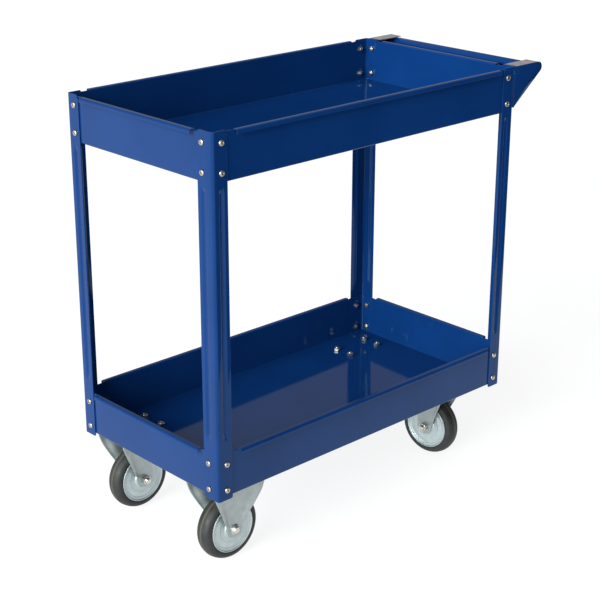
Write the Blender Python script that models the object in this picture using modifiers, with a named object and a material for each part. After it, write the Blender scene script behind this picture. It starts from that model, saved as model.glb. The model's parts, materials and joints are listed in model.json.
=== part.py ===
# Two-tier sheet-steel service trolley with a pressed push handle, two fixed and two swivel castors.
# Metres, Z up. X runs along the trolley, the handle is at +X. Y runs across. The floor is Z = 0.
import math

import bpy
import bmesh
from mathutils import Matrix
from mathutils import Vector

GAP = 0.0003
# moves the middle of the overall length onto the origin
SHIFT_X = -0.0373

# overall frame
LENGTH = 0.750
WIDTH = 0.393
POST_BOTTOM = 0.1573
POST_TOP = 0.813

# corner posts, whose two flanges may differ in width
WIDE = 0.0375
NARROW = 0.0320
POST_T = 0.002
POST_BEND = 0.005
FOOT_CHAMFER = 0.002
HEAD_CHAMFER = 0.005
RIB_FROM_EDGE = 0.0135
RIB_HALF = 0.006
RIB_DEPTH = 0.0022
RIB_LOW = 0.285
RIB_HIGH = 0.706
RIB_RUN = 0.014

# trays
SHEET = 0.0015
TRAY_H = 0.0855
UPPER_BOTTOM = 0.7265
LOWER_BOTTOM = 0.1620
TRAY_CORNER = 0.006
FLOOR_BEND = 0.003
NOTCH_DROP = 0.0032
HEM_OUT = 0.010
HEM_DOWN = 0.008
HEM_IN_BEND = 0.0014
HEM_OUT_BEND = 0.0022
HEM_END_X = 0.047
HEM_END_Y = 0.045

# handle, measured from the outer face of the rear posts and from the post tops
WING_DROP = 0.0010
WING_LOW = 0.080
WING_TOP_FLAT = 0.0712
WING_TIP_R = 0.0105
WING_TIP_X = 0.082
STRIP_W = 0.030
MOUNT_W = 0.033
RETURN_W = 0.009
ROLL_X = 0.0660
ROLL_Z = 0.0140
RAIL_RUN = 0.046

# castors
WHEEL_R = 0.0625
TYRE_HALF = 0.0174
TYRE_BORE = 0.0475
RIM_R = 0.0472
BUSH_R = 0.0080
AXLE_R = 0.0050
LEG_IN = 0.0200
LEG_T = 0.0025
FIXED_X = -0.304
FIXED_Y = 0.132
SWIVEL_X = 0.2865
SWIVEL_Y = 0.1235
TRAIL = 0.0265
PLATE_X = 0.059
PLATE_Y = 0.0365
PLATE_T = 0.003
BOLT_X = 0.0410
FIXED_BOLT_Y = 0.026
SWIVEL_BOLT_Y = 0.020
BOLT_R = 0.0040
CROWN = 0.1500
# clear height between the tray floor and the castors' top plates
SEAT_GAP = 0.0009
SWIVEL_LEFT_DEG = 95.9
SWIVEL_RIGHT_DEG = 200.0

CASTOR_TOP = LOWER_BOTTOM - SEAT_GAP

for old in list(bpy.data.objects):
    bpy.data.objects.remove(old, do_unlink=True)

parts = bpy.data.collections.new("service_trolley")
bpy.context.scene.collection.children.link(parts)
tools = bpy.data.collections.new("cutters")
bpy.context.scene.collection.children.link(tools)


def paint(name, colour, metallic, rough):
    mat = bpy.data.materials.new(name)
    mat.use_nodes = True
    node = mat.node_tree.nodes["Principled BSDF"]
    node.inputs["Base Color"].default_value = (colour[0], colour[1], colour[2], 1.0)
    node.inputs["Metallic"].default_value = metallic
    node.inputs["Roughness"].default_value = rough
    return mat


def make(name, verts, faces, mat, place=None, smooth=False, group=None):
    mesh = bpy.data.meshes.new(name)
    mesh.from_pydata([tuple(v) for v in verts], [], faces)
    work = bmesh.new()
    work.from_mesh(mesh)
    bmesh.ops.recalc_face_normals(work, faces=work.faces[:])
    work.to_mesh(mesh)
    work.free()
    for poly in mesh.polygons:
        poly.use_smooth = smooth
    mesh.materials.append(mat)
    obj = bpy.data.objects.new(name, mesh)
    (group or parts).objects.link(obj)
    if place is not None:
        obj.matrix_world = place
    return obj


def closed_rings(rings, loop):
    # a solid built from rings of equal length; loop joins the last ring to the first
    verts = [p for ring in rings for p in ring]
    n = len(rings[0])
    faces = []
    last = len(rings) if loop else len(rings) - 1
    for i in range(last):
        a = i * n
        b = ((i + 1) % len(rings)) * n
        for j in range(n):
            k = (j + 1) % n
            faces.append((a + j, a + k, b + k, b + j))
    if not loop:
        faces.append(tuple(range(n))[::-1])
        faces.append(tuple(range((len(rings) - 1) * n, len(rings) * n)))
    return verts, faces


def lathe(name, profile, segs, mat, place, loop=True, hexed=()):
    # profile holds (radius, height) points; indices in hexed take a hexagonal outline
    rings = []
    for i, (radius, height) in enumerate(profile):
        ring = []
        for k in range(segs):
            a = 2.0 * math.pi * k / segs
            r = radius
            if i in hexed:
                r = radius / math.cos((a + math.pi / 6.0) % (math.pi / 3.0) - math.pi / 6.0)
            ring.append(Vector((r * math.cos(a), r * math.sin(a), height)))
        rings.append(ring)
    verts, faces = closed_rings(rings, loop)
    return make(name, verts, faces, mat, place, smooth=True)


def sheet(name, verts, faces, thick, mat, grow, place=None, smooth=False):
    # a folded sheet: the given faces are one skin, the metal grows from face 0 toward grow
    mesh = bpy.data.meshes.new(name)
    mesh.from_pydata([tuple(v) for v in verts], [], faces)
    work = bmesh.new()
    work.from_mesh(mesh)
    bmesh.ops.recalc_face_normals(work, faces=work.faces[:])
    work.faces.ensure_lookup_table()
    if work.faces[0].normal.dot(Vector(grow)) < 0.0:
        bmesh.ops.reverse_faces(work, faces=work.faces[:])
    work.to_mesh(mesh)
    work.free()
    for poly in mesh.polygons:
        poly.use_smooth = smooth
    mesh.materials.append(mat)
    obj = bpy.data.objects.new(name, mesh)
    parts.objects.link(obj)
    if place is not None:
        obj.matrix_world = place
    mod = obj.modifiers.new("sheet_thickness", "SOLIDIFY")
    mod.thickness = thick
    mod.offset = 1.0
    mod.use_even_offset = True
    return obj


def drill(obj, name, shafts, place=None):
    # shafts holds (centre, axis, radius, half_length) of round holes
    verts = []
    faces = []
    segs = 12
    for centre, axis, radius, half in shafts:
        c = Vector(centre)
        z = Vector(axis).normalized()
        x = z.orthogonal().normalized()
        y = z.cross(x)
        base = len(verts)
        for side in (-1.0, 1.0):
            for k in range(segs):
                a = 2.0 * math.pi * (k + 0.5) / segs
                verts.append(c + z * half * side + x * radius * math.cos(a) + y * radius * math.sin(a))
        for k in range(segs):
            n = (k + 1) % segs
            faces.append((base + k, base + n, base + segs + n, base + segs + k))
        faces.append(tuple(base + k for k in range(segs))[::-1])
        faces.append(tuple(base + segs + k for k in range(segs)))
    cutter = make(name, verts, faces, zinc, place, group=tools)
    cutter.hide_render = True
    cutter.display_type = "WIRE"
    mod = obj.modifiers.new("holes", "BOOLEAN")
    mod.operation = "DIFFERENCE"
    mod.solver = "EXACT"
    mod.object = cutter


blue = paint("gloss_blue_enamel", (0.010, 0.055, 0.270), 0.0, 0.16)
zinc = paint("zinc_plated_steel", (0.62, 0.66, 0.66), 0.9, 0.34)
bright = paint("bright_fastener", (0.72, 0.72, 0.70), 1.0, 0.25)
rubber = paint("dark_grey_rubber", (0.060, 0.058, 0.060), 0.0, 0.75)


# ---- trays ------------------------------------------------------------------------------------
def tray_ring(hx, hy, radius, height, cut_x, cut_y):
    # one level of the tray outline: rounded corners, plus the two hem ends on each side
    ring = []
    steps = 4
    corners = ((1, 1, 0.0), (-1, 1, 0.5), (-1, -1, 1.0), (1, -1, 1.5))
    for sx, sy, turn in corners:
        cx = sx * (hx - radius)
        cy = sy * (hy - radius)
        if sx * sy > 0:
            ring.append(Vector((sx * hx, sy * cut_y, height)))
        else:
            ring.append(Vector((sx * cut_x, sy * hy, height)))
        for k in range(steps + 1):
            a = math.pi * (turn + 0.5 * k / steps)
            ring.append(Vector((cx + radius * math.cos(a), cy + radius * math.sin(a), height)))
        if sx * sy > 0:
            ring.append(Vector((sx * cut_x, sy * hy, height)))
        else:
            ring.append(Vector((sx * hx, sy * cut_y, height)))
    return ring


def tray(name, bottom):
    hx = LENGTH / 2.0 - POST_T - GAP
    hy = WIDTH / 2.0 - POST_T - GAP
    cut_x = LENGTH / 2.0 - HEM_END_X
    cut_y = WIDTH / 2.0 - HEM_END_Y
    levels = []
    for k in range(4):
        a = 0.5 * math.pi * k / 3.0
        inset = FLOOR_BEND * (1.0 - math.sin(a))
        levels.append((inset, bottom + FLOOR_BEND * (1.0 - math.cos(a))))
    levels.append((0.0, bottom + TRAY_H - NOTCH_DROP))
    rings = []
    for inset, z in levels:
        rings.append(tray_ring(hx - inset, hy - inset, TRAY_CORNER - inset, z, cut_x, cut_y))
    n = len(rings[0])
    verts = [p for ring in rings for p in ring]
    faces = [tuple(range(n))]
    for i in range(len(rings) - 1):
        a = i * n
        b = a + n
        for j in range(n):
            k = (j + 1) % n
            faces.append((a + k, a + j, b + j, b + k))
    # hems: each side rolls outward and down between its two ends
    top = (len(rings) - 1) * n
    per = 7
    under = bottom + TRAY_H - SHEET
    reach = HEM_OUT - SHEET
    steps = []
    for k in range(3):
        a = math.pi * k / 4.0
        steps.append((HEM_IN_BEND * (1.0 - math.cos(a)), under - HEM_IN_BEND * (1.0 - math.sin(a))))
    for k in range(3):
        a = math.pi * (2 - k) / 4.0
        out = reach - HEM_OUT_BEND * (1.0 - math.cos(a))
        steps.append((out, under - HEM_OUT_BEND * (1.0 - math.sin(a))))
    steps.append((reach, bottom + TRAY_H - HEM_DOWN))
    outward = ((0, 1), (-1, 0), (0, -1), (1, 0))
    for side in range(4):
        first = top + side * per + per - 1
        second = top + ((side + 1) * per) % n
        row = (first, second)
        for out, z in steps:
            new = []
            for index in (first, second):
                v = verts[index].copy()
                v.x += outward[side][0] * out
                v.y += outward[side][1] * out
                v.z = z
                new.append(len(verts))
                verts.append(v)
            faces.append((row[1], row[0], new[0], new[1]))
            row = (new[0], new[1])
    return sheet(name, verts, faces, SHEET, blue, (0, 0, 1))


upper_tray = tray("upper_tray", UPPER_BOTTOM)
lower_tray = tray("lower_tray", LOWER_BOTTOM)

castors = (
    # label, place across and along, bolt pattern, thickness of the steel under the tray floor
    ("front_left", FIXED_X, -FIXED_Y, FIXED_BOLT_Y, LEG_T),
    ("front_right", FIXED_X, FIXED_Y, FIXED_BOLT_Y, LEG_T),
    ("rear_left", SWIVEL_X, -SWIVEL_Y, SWIVEL_BOLT_Y, PLATE_T),
    ("rear_right", SWIVEL_X, SWIVEL_Y, SWIVEL_BOLT_Y, PLATE_T),
)
floor_holes = []
for label, cx, cy, bolt_y, under in castors:
    for sx in (-1, 1):
        for sy in (-1, 1):
            spot = (cx + sx * BOLT_X, cy + sy * bolt_y, LOWER_BOTTOM)
            floor_holes.append((spot, (0, 0, 1), BOLT_R + GAP, 0.006))
drill(lower_tray, "lower_floor_holes", floor_holes)


# ---- corner posts -----------------------------------------------------------------------------
def flange_line(width, cut, amount):
    # one flange from its free edge toward the corner, as (distance from the corner, depth)
    line = [(width - cut, 0.0)]
    centre = width - RIB_FROM_EDGE
    for k, depth in ((1.0, 0.0), (0.5, 0.75), (0.0, 1.0), (-0.5, 0.75), (-1.0, 0.0)):
        line.append((centre + k * RIB_HALF, depth * amount * RIB_DEPTH))
    return line


def post(name, sx, sy, end_flange, side_flange):
    stations = (
        # height, cut off the free edges, depth of the rib from 0 to 1
        (POST_BOTTOM, FOOT_CHAMFER, 0.0),
        (POST_BOTTOM + FOOT_CHAMFER, 0.0, 0.0),
        (RIB_LOW - RIB_RUN, 0.0, 0.0),
        (RIB_LOW, 0.0, 1.0),
        (RIB_HIGH, 0.0, 1.0),
        (RIB_HIGH + RIB_RUN, 0.0, 0.0),
        (POST_TOP - HEAD_CHAMFER, 0.0, 0.0),
        (POST_TOP, HEAD_CHAMFER, 0.0),
    )
    rings = []
    for z, cut, amount in stations:
        side = flange_line(side_flange, cut, amount)
        end = flange_line(end_flange, cut, amount)
        outer = list(side)
        inner = [(u, d + POST_T) for u, d in side]
        for k in range(5):
            a = math.pi * (1.5 - 0.5 * k / 4.0)
            c = math.cos(a)
            s = math.sin(a)
            outer.append((POST_BEND + POST_BEND * c, POST_BEND + POST_BEND * s))
            inner.append((POST_BEND + (POST_BEND - POST_T) * c, POST_BEND + (POST_BEND - POST_T) * s))
        outer += [(d, u) for u, d in reversed(end)]
        inner += [(d + POST_T, u) for u, d in reversed(end)]
        ring = []
        for u, v in outer + inner[::-1]:
            ring.append(Vector((sx * (LENGTH / 2.0 - u), sy * (WIDTH / 2.0 - v), z)))
        rings.append(ring)
    verts, faces = closed_rings(rings, False)
    return make(name, verts, faces, blue)


post("post_front_left", -1, -1, WIDE, NARROW)
post("post_front_right", -1, 1, NARROW, NARROW)
post("post_rear_left", 1, -1, NARROW, NARROW)
post("post_rear_right", 1, 1, NARROW, WIDE)


# ---- push handle ------------------------------------------------------------------------------
FACE_X = LENGTH / 2.0 + GAP
WING_Y = WIDTH / 2.0 - 0.0002


def wing_outline():
    # side view of the wing, as (x from the post face, z below the post top)
    tip_cx = WING_TIP_X - WING_TIP_R
    tip_cz = -WING_DROP - WING_TIP_R
    turn = math.radians(-51.0)
    points = []
    for k in range(6):
        a = math.pi / 2.0 + (turn - math.pi / 2.0) * k / 5.0
        points.append((tip_cx + WING_TIP_R * math.cos(a), tip_cz + WING_TIP_R * math.sin(a)))
    return points


TIP = wing_outline()
SLOPE_TOP = TIP[-1]
SLOPE_LOW = (0.0030, -WING_LOW)


def prism(name, outline, y0, y1, group=None):
    # a flat outline in the side view, drawn out between two widths
    rings = []
    for y in (y0, y1):
        rings.append([Vector((FACE_X + x, y, POST_TOP + z)) for x, z in outline])
    verts, faces = closed_rings(rings, False)
    return make(name, verts, faces, blue, group=group)


def wing(name, side):
    # side plate with a top strip, a mounting flange and a narrow sloping return, one bent sheet
    outer = side * WING_Y
    root = side * (WING_Y - 0.5 * SHEET)
    plate = [(0.0, -WING_LOW), (0.0, -WING_DROP)] + TIP + [SLOPE_LOW]
    body = prism(name, plate, outer, side * (WING_Y - SHEET))
    strip = [(0.0, -WING_DROP - SHEET), (0.0, -WING_DROP), (WING_TOP_FLAT, -WING_DROP)]
    strip.append((WING_TOP_FLAT, -WING_DROP - SHEET))
    mount = [(0.0, -WING_LOW), (0.0, -WING_DROP - 0.010), (SHEET, -WING_DROP - 0.010), (SHEET, -WING_LOW)]
    dx = SLOPE_TOP[0] - SLOPE_LOW[0]
    dz = SLOPE_TOP[1] - SLOPE_LOW[1]
    run = math.hypot(dx, dz)
    nx = -dz / run * SHEET
    nz = dx / run * SHEET
    lip = [SLOPE_LOW, (SLOPE_LOW[0] + nx, SLOPE_LOW[1] + nz)]
    lip += [(SLOPE_TOP[0] + nx, SLOPE_TOP[1] + nz), SLOPE_TOP]
    folds = (("strip", strip, STRIP_W), ("mount", mount, MOUNT_W), ("lip", lip, RETURN_W))
    for label, outline, width in folds:
        extra = prism(name + "_" + label, outline, root, side * (WING_Y - width), tools)
        extra.hide_render = True
        extra.display_type = "WIRE"
        mod = body.modifiers.new("fold_" + label, "BOOLEAN")
        mod.operation = "UNION"
        mod.solver = "EXACT"
        mod.object = extra
    return body


wing("handle_wing_left", -1)
wing("handle_wing_right", 1)


def rail():
    # the grip: a sloping strip whose upper edge is rolled over toward the trays
    slope = math.atan2(SLOPE_TOP[1] - SLOPE_LOW[1], SLOPE_TOP[0] - SLOPE_LOW[0])
    # the strip lies on the wings' returns, so the roll's radius follows from its centre
    reach = (SLOPE_LOW[0] - ROLL_X) * math.sin(slope) - (SLOPE_LOW[1] + ROLL_Z) * math.cos(slope)
    roll = reach - SHEET - GAP
    path = []
    start = -(math.pi / 2.0 - slope)
    count = 9
    for k in range(count + 1):
        a = start + math.radians(235.0) * k / count
        path.append((ROLL_X + roll * math.cos(a), -ROLL_Z + roll * math.sin(a)))
    first = path[0]
    low = (first[0] - RAIL_RUN * math.cos(slope), first[1] - RAIL_RUN * math.sin(slope))
    path.insert(0, low)
    half = WING_Y - SHEET - GAP
    verts = []
    faces = []
    for x, z in path:
        verts.append(Vector((FACE_X + x, -half, POST_TOP + z)))
        verts.append(Vector((FACE_X + x, half, POST_TOP + z)))
    for i in range(len(path) - 1):
        faces.append((2 * i, 2 * i + 2, 2 * i + 3, 2 * i + 1))
    return sheet("handle_rail", verts, faces, SHEET, blue, (-1, 0, 1), smooth=True)


rail()


# ---- castor pieces ----------------------------------------------------------------------------
FIXED_LEG = (
    # height over axle, half width, distance of the outer face from the wheel middle, edge flare
    (-0.0165, 0.0055, 0.0225, 0.0),
    (-0.0120, 0.0118, 0.0225, 0.0),
    (-0.0050, 0.0158, 0.0225, 0.0),
    (0.0060, 0.0178, 0.0225, 0.0),
    (0.0190, 0.0245, 0.0228, 0.0025),
    (0.0340, 0.0325, 0.0250, 0.0055),
    (0.0500, 0.0414, 0.0285, 0.0062),
    (0.0700, 0.0515, 0.0335, 0.0050),
    (0.0890, 0.0590, 0.0378, 0.0015),
)
SWIVEL_LEG = (
    # height over axle, leading reach, trailing reach, outer face distance, edge flare
    (-0.0165, 0.0055, 0.0055, 0.0225, 0.0),
    (-0.0120, 0.0118, 0.0118, 0.0225, 0.0),
    (-0.0050, 0.0158, 0.0155, 0.0225, 0.0),
    (0.0080, 0.0178, 0.0162, 0.0225, 0.0),
    (0.0270, 0.0265, 0.0162, 0.0228, 0.0015),
    (0.0450, 0.0345, 0.0145, 0.0245, 0.0035),
    (0.0640, 0.0430, 0.0090, 0.0275, 0.0035),
    (0.0770, 0.0490, 0.0040, 0.0300, 0.0012),
)
# top bends: distance of the outer face from the middle, and radius
FIXED_SHOULDER = (0.0400, 0.0075)
SWIVEL_SHOULDER = (0.0325, 0.0080)
COLUMNS = (-1.0, -0.86, -0.62, 0.62, 0.86, 1.0)
LIFT = (1.0, 0.9, 0.0, 0.0, 0.9, 1.0)


def yoke(name, rows, place):
    # rows run up one leg, over the top and down the other: (along_lo, along_hi, across, height, flare)
    verts = []
    faces = []
    n = len(COLUMNS)
    for lo, hi, across, z, flare in rows:
        mid = 0.5 * (lo + hi)
        half = 0.5 * (hi - lo)
        sign = 1.0 if across >= 0.0 else -1.0
        for c, l in zip(COLUMNS, LIFT):
            verts.append(Vector((mid + c * half, across + sign * flare * l, z)))
    for i in range(len(rows) - 1):
        for j in range(n - 1):
            a = i * n + j
            faces.append((a, a + 1, a + n + 1, a + n))
    # the first face lies on the leg at positive Y, so the metal grows back toward the wheel
    return sheet(name, verts, faces, LEG_T, zinc, (0, -1, 0), place, smooth=True)


def bend_rows(lo, hi, across, top, radius):
    out = []
    for k in range(1, 4):
        a = 0.5 * math.pi * k / 3.0
        out.append((lo, hi, across - radius * (1.0 - math.cos(a)), top - radius * (1.0 - math.sin(a)), 0.0))
    return out


def mirrored(rows, centre_row):
    back = [(lo, hi, -across, z, flare) for lo, hi, across, z, flare in reversed(rows)]
    return rows + centre_row + back


def tyre(name, place):
    # crowned tread with rounded shoulders and a slight centre land
    half = ((TYRE_BORE, -0.0164), (0.0500, -TYRE_HALF), (0.0540, -0.0168), (0.0588, -0.0134),
            (0.0613, -0.0090), (0.0624, -0.0036))
    profile = list(half) + [(r, -h) for r, h in reversed(half)]
    return lathe(name, profile, 32, rubber, place)


def disc(name, place, side):
    # one pressed half of the wheel centre: hub sleeve, dished face with a step, rim bead and band
    profile = ((BUSH_R + GAP, 0.00015), (BUSH_R + GAP, 0.0185), (0.0165, 0.0185), (0.0195, 0.0150),
               (0.0370, 0.0142), (0.0400, 0.0152), (0.0432, 0.0156), (0.0455, 0.0172),
               (RIM_R, 0.0168), (RIM_R, 0.00015), (0.0456, 0.00015), (0.0450, 0.0145),
               (0.0380, 0.0125), (0.0180, 0.0130), (0.0150, 0.0165), (0.0115, 0.0165), (0.0115, 0.00015))
    return lathe(name, [(r, h * side) for r, h in profile], 20, zinc, place)


def bush(name, place):
    half = LEG_IN - 0.0006
    profile = ((AXLE_R + GAP, -half), (BUSH_R, -half), (BUSH_R, half), (AXLE_R + GAP, half))
    return lathe(name, profile, 16, bright, place)


def axle(name, place):
    # domed flange head on -Z, threaded end on +Z
    face = LEG_IN + LEG_T + GAP
    profile = ((0.0025, -face - 0.0062), (0.0058, -face - 0.0050), (0.0080, -face - 0.0022),
               (0.0095, -face - 0.0012), (0.0095, -face), (AXLE_R, -face), (AXLE_R, face + 0.0125),
               (0.0040, face + 0.0135))
    return lathe(name, profile, 16, bright, place, loop=False)


def nut(name, place):
    face = LEG_IN + LEG_T + GAP
    bore = AXLE_R + GAP
    profile = ((bore, face), (0.0080, face), (0.0080, face + 0.0070), (0.0072, face + 0.0080), (bore, face + 0.0080))
    return lathe(name, profile, 12, bright, place, hexed=(1, 2))


def mounting_bolts(label, cx, cy, bolt_y, under):
    # bolt from below with its nut on the tray floor, the bolt's end standing clear of the nut
    top = LOWER_BOTTOM + SHEET + GAP
    seat = -SHEET - 2.0 * GAP - SEAT_GAP - under
    number = 0
    for sx in (-1, 1):
        for sy in (-1, 1):
            number += 1
            place = Matrix.Translation((cx + sx * BOLT_X, cy + sy * bolt_y, top))
            profile = ((0.0050, seat - 0.0048), (0.0060, seat - 0.0040), (0.0060, seat), (BOLT_R, seat),
                       (BOLT_R, 0.0), (0.0060, 0.0), (0.0060, 0.0054), (0.0050, 0.0062),
                       (0.0038, 0.0062), (0.0034, 0.0086))
            lathe("castor_bolt_%s_%d" % (label, number), profile, 12, bright, place, False, (1, 2, 5, 6))


def plate_holes(bolt_y):
    holes = []
    for sx in (-1, 1):
        for sy in (-1, 1):
            spot = (sx * BOLT_X, sy * bolt_y, CASTOR_TOP - 0.002)
            holes.append((spot, (0, 0, 1), BOLT_R + GAP, 0.006))
    return holes


def fixed_castor(label, cy):
    side = 1.0 if cy > 0.0 else -1.0
    here = Matrix.Translation((FIXED_X, cy, 0.0))
    rows = []
    for h, half, out, flare in FIXED_LEG:
        rows.append((-half, half, out, WHEEL_R + h, flare))
    rows += bend_rows(-PLATE_X, PLATE_X, FIXED_SHOULDER[0], CASTOR_TOP, FIXED_SHOULDER[1])
    rows = mirrored(rows, [(-PLATE_X, PLATE_X, 0.0, CASTOR_TOP, 0.0)])
    bracket = yoke("fixed_bracket_" + label, rows, here)
    holes = plate_holes(FIXED_BOLT_Y)
    holes.append(((0, 0, WHEEL_R), (0, 1, 0), AXLE_R + GAP, 0.040))
    drill(bracket, "bracket_holes_" + label, holes, here)
    # the domed axle head faces outward
    turn = Matrix.Rotation(math.radians(90.0 * side), 4, "X")
    hub = Matrix.Translation((FIXED_X, cy, WHEEL_R)) @ turn
    axle("fixed_axle_" + label, hub)
    nut("fixed_nut_" + label, hub)
    bush("fixed_bush_" + label, hub)
    disc("fixed_disc_outer_" + label, hub, -1)
    disc("fixed_disc_inner_" + label, hub, 1)
    tyre("fixed_tyre_" + label, hub)


def swivel_castor(label, cy, heading):
    pivot = Matrix.Translation((SWIVEL_X, cy, 0.0))
    spin = pivot @ Matrix.Rotation(math.radians(heading), 4, "Z")
    # rectangular top plate under the tray floor
    ring = []
    for sx, sy, start in ((1, 1, 0.0), (-1, 1, 0.5), (-1, -1, 1.0), (1, -1, 1.5)):
        for k in range(3):
            a = math.pi * (start + 0.25 * k)
            x = sx * (PLATE_X - 0.008) + 0.008 * math.cos(a)
            y = sy * (PLATE_Y - 0.008) + 0.008 * math.sin(a)
            ring.append((x, y))
    rings = []
    for z in (CASTOR_TOP - PLATE_T, CASTOR_TOP):
        rings.append([Vector((x, y, z)) for x, y in ring])
    verts, faces = closed_rings(rings, False)
    plate = make("swivel_plate_" + label, verts, faces, zinc, pivot)
    holes = plate_holes(SWIVEL_BOLT_Y)
    holes.append(((0, 0, CASTOR_TOP), (0, 0, 1), 0.0063, 0.006))
    drill(plate, "plate_holes_" + label, holes, pivot)
    # double ball race between the plate and the fork crown
    high = CASTOR_TOP - PLATE_T - GAP
    low = CROWN + GAP
    race = ((0.0120, low), (0.0270, low), (0.0290, low + 0.0012), (0.0265, low + 0.0040),
            (0.0310, low + 0.0054), (0.0318, high - 0.0008), (0.0310, high), (0.0120, high))
    lathe("swivel_race_" + label, race, 28, zinc, pivot)
    king = ((0.0070, CROWN - 0.0085), (0.0105, CROWN - 0.0070), (0.0110, CROWN - LEG_T - GAP),
            (0.0060, CROWN - LEG_T - GAP), (0.0060, CASTOR_TOP - 0.0002))
    lathe("swivel_kingpin_" + label, king, 20, bright, pivot, loop=False)
    # fork: the wheel trails behind the swivel axis
    rows = []
    for h, lead, trail, out, flare in SWIVEL_LEG:
        rows.append((TRAIL - lead, TRAIL + trail, out, WHEEL_R + h, flare))
    rows += bend_rows(-0.0260, 0.0320, SWIVEL_SHOULDER[0], CROWN, SWIVEL_SHOULDER[1])
    rows.append((-0.0325, 0.0340, 0.0130, CROWN, 0.0))
    rows = mirrored(rows, [(-0.0335, 0.0345, 0.0, CROWN, 0.0)])
    fork = yoke("swivel_fork_" + label, rows, spin)
    holes = [((TRAIL, 0, WHEEL_R), (0, 1, 0), AXLE_R + GAP, 0.040)]
    holes.append(((0, 0, CROWN), (0, 0, 1), 0.0063, 0.008))
    drill(fork, "fork_holes_" + label, holes, spin)
    # the nut side is the one turned to the front of the trolley
    hub = spin @ Matrix.Translation((TRAIL, 0.0, WHEEL_R)) @ Matrix.Rotation(math.radians(-90.0), 4, "X")
    axle("swivel_axle_" + label, hub)
    nut("swivel_nut_" + label, hub)
    bush("swivel_bush_" + label, hub)
    disc("swivel_disc_head_" + label, hub, -1)
    disc("swivel_disc_nut_" + label, hub, 1)
    tyre("swivel_tyre_" + label, hub)


fixed_castor("left", -FIXED_Y)
fixed_castor("right", FIXED_Y)
swivel_castor("left", -SWIVEL_Y, SWIVEL_LEFT_DEG)
swivel_castor("right", SWIVEL_Y, SWIVEL_RIGHT_DEG)
for label, cx, cy, bolt_y, under in castors:
    mounting_bolts(label, cx, cy, bolt_y, under)

for obj in bpy.data.objects:
    obj.location.x += SHIFT_X
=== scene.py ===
# Looks of the two-tier service trolley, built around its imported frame. Metres, Z up.
# The front is the end at -X, left is -Y. Every piece rides on a body of the frame.
import json
import math

import bmesh
import bpy
from mathutils import Matrix, Vector

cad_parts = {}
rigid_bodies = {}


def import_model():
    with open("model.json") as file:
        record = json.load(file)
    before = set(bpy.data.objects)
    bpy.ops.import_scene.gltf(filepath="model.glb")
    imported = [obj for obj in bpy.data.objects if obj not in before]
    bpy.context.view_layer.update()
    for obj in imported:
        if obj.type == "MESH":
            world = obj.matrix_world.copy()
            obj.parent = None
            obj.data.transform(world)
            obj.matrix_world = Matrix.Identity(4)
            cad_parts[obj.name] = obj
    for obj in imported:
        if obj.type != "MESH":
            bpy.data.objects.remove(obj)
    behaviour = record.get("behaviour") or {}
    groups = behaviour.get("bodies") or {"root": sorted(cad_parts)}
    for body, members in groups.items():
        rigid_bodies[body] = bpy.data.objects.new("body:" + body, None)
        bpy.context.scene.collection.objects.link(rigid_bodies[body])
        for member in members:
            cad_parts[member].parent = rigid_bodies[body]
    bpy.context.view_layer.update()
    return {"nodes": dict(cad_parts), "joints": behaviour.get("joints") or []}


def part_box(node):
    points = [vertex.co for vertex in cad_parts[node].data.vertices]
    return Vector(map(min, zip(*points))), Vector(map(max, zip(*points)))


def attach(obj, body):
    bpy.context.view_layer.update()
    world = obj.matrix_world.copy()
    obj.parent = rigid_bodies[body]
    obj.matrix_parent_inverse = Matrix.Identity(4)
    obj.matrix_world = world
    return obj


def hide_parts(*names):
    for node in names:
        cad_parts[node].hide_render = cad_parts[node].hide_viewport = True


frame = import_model()
ROOT = "frame"

# camera: where it stands, the angles it looks back along, its tilt about that line and its lens
CAMERA_AT = (-1.8535, -1.9326, 1.3851)
CAMERA_AZIMUTH = -43.26
CAMERA_ELEVATION = 20.72
CAMERA_ROLL = 0.10
CAMERA_LENS = 88.19
CAMERA_SENSOR = 36.0

# studio: one soft key light, a white sky that is dimmer in reflections, a glowing floor, a dark card
KEY_TOWARD = (-1.8, -0.35, 0.72)
KEY_SPREAD = 40.0
KEY_STRENGTH = 6.2
KEY_TINT = (0.96, 1.04, 1.0)
SKY_STRENGTH = 0.45
SKY_MIRRORED = 0.38
FLOOR_REACH = 40.0
FLOOR_GLOW = 0.86
CARD_Y = -0.9
CARD_LENGTH = 3.2
CARD_HEIGHT = 2.5

# facets round a wheel, a bolt or nut, and a small screw head
WHEEL_FACETS = 112
BOLT_FACETS = 48
SCREW_FACETS = 32

# sheet thicknesses, and the clearance between pieces that fit together
SHEET = 0.0015
POST_SHEET = 0.0020
LEG_SHEET = 0.0025
GAP = 0.0003

# trays
TRAY_CORNER = 0.006
FLOOR_FOLD = 0.0025
RIM_IN_FOLD = 0.0014
RIM_OUT_FOLD = 0.0024
NOTCH_DROP = 0.0032
NOTCH_RUN = 0.003
CORNER_DROP = 0.0016
HEM_OUT = 0.010
HEM_DOWN = 0.008
HEM_END_X = 0.047
HEM_END_Y = 0.045

# posts, whose two flanges may differ in width
WIDE = 0.0375
NARROW = 0.0320
POST_FOLD = 0.005
FOOT_CHAMFER = 0.002
HEAD_CHAMFER = 0.005
HEAD_CUT = 0.0068
RIB_FROM_EDGE = 0.0135
RIB_HALF = 0.0065
RIB_DEPTH = 0.0024
RIB_LOW = 0.285
RIB_HIGH = 0.706
RIB_RUN = 0.016

# handle, from the rear face of the rear posts and from the post tops
WING_DROP = 0.0010
WING_LOW = 0.080
WING_TIP_R = 0.0105
WING_TIP_X = 0.082
WING_TIP_TURN = 141.0
WING_FOLD = 0.0018
STRIP_W = 0.030
# where the painted pale reflection on the wings' top strip begins
STRIP_START = 0.008
MOUNT_W = 0.033
MOUNT_DROP = 0.011
RETURN_W = 0.009
SLOPE_FOOT = 0.0030
ROLL_X = 0.0660
ROLL_Z = 0.0140
ROLL_TURN = 235.0
RAIL_RUN = 0.046

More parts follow.
